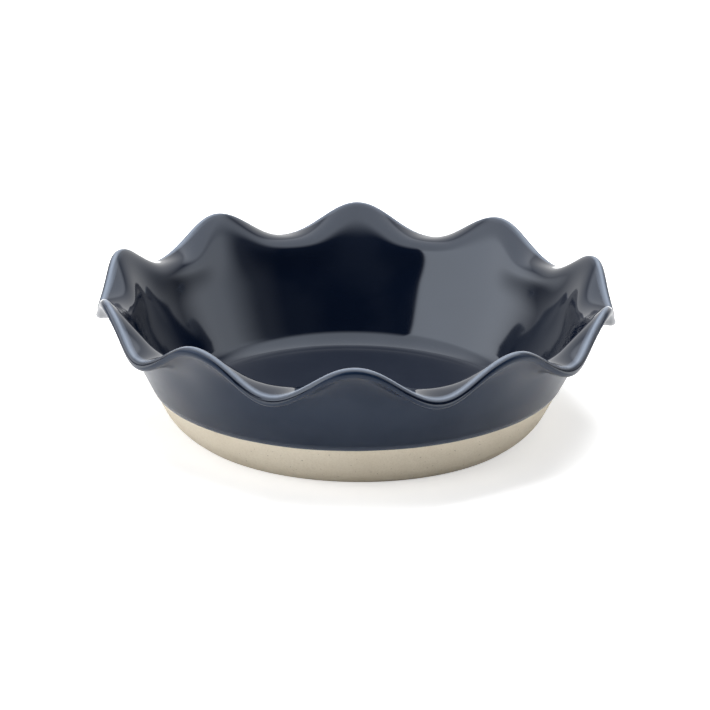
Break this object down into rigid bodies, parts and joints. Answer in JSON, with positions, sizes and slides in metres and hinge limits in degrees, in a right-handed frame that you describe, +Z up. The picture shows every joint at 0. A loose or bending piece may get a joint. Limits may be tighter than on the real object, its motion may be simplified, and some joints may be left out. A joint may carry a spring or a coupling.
{
  "type": "pie dish",
  "caption": "Deep round pie dish in stoneware, with a ruffled flared rim, a glaze coat inside and over the rim, and a bare clay foot.",
  "frame": {"origin": "centre of the foot, on the surface that the dish stands on", "axes": "+Z up through the middle of the dish; -Y towards a crest of the rim at the front"},
  "size_m": [0.2712, 0.2712, 0.0771],
  "materials": {
    "bare_stoneware": "fired unglazed stoneware, matt and finely sandy",
    "inside_glaze": "dark navy glaze, high gloss",
    "outside_glaze": "dark navy glaze, soft gloss, breaking paler along the lip and the glaze line"
  },
  "bodies": {
    "root": {"clay_body": "bare_stoneware", "inside_glaze": "inside_glaze", "outside_glaze": "outside_glaze"}
  },
  "joints": []
}
